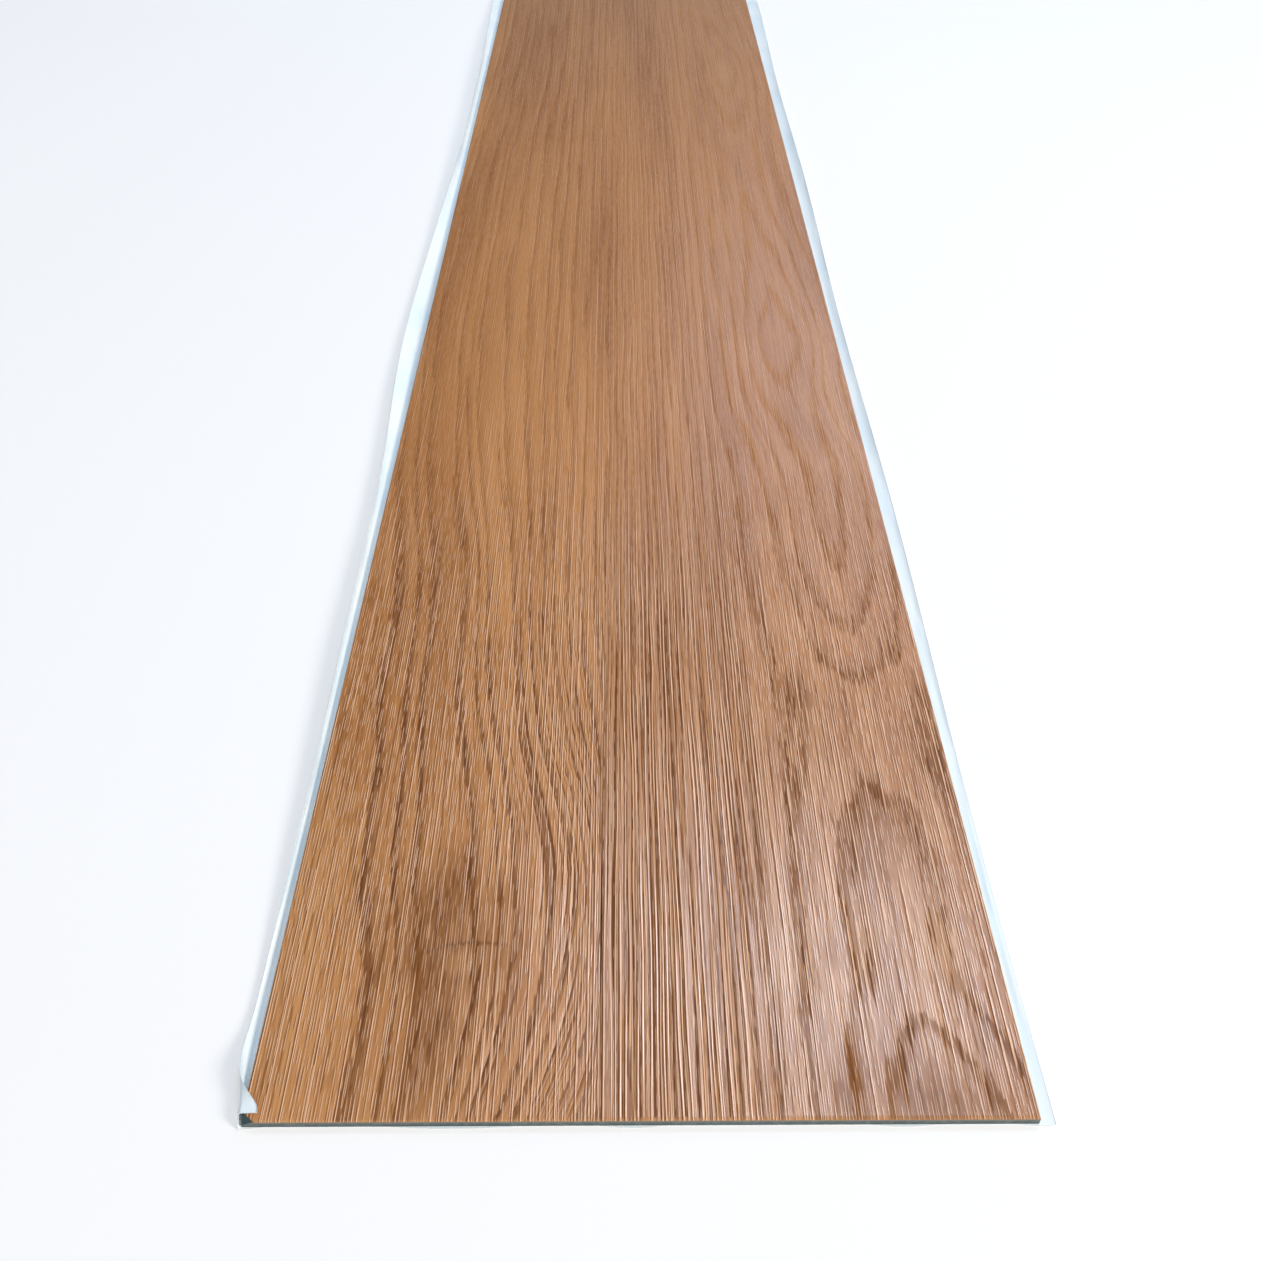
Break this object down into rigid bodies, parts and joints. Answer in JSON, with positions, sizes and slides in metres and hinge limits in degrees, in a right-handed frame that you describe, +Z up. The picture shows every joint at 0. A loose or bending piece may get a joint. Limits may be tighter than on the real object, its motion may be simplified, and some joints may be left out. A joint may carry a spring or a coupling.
{
  "type": "vinyl floor plank",
  "caption": "Peel-and-stick vinyl floor plank with an embossed oak print, lying on its wider release liner, whose free margins wave and curl up along both long sides.",
  "frame": {"origin": "centre of the plank, on the underside of the release liner, which lies on the floor", "axes": "+Y along the plank from the end nearest the viewer to the far end, +X across it to the viewer's right, +Z up through its thickness"},
  "size_m": [0.1677, 0.9152, 0.0058],
  "materials": {
    "oak_print_vinyl": "embossed satin",
    "release_liner": "slick silicone-coated"
  },
  "bodies": {
    "root": {"vinyl_plank": "oak_print_vinyl", "release_liner": "release_liner"}
  },
  "joints": []
}
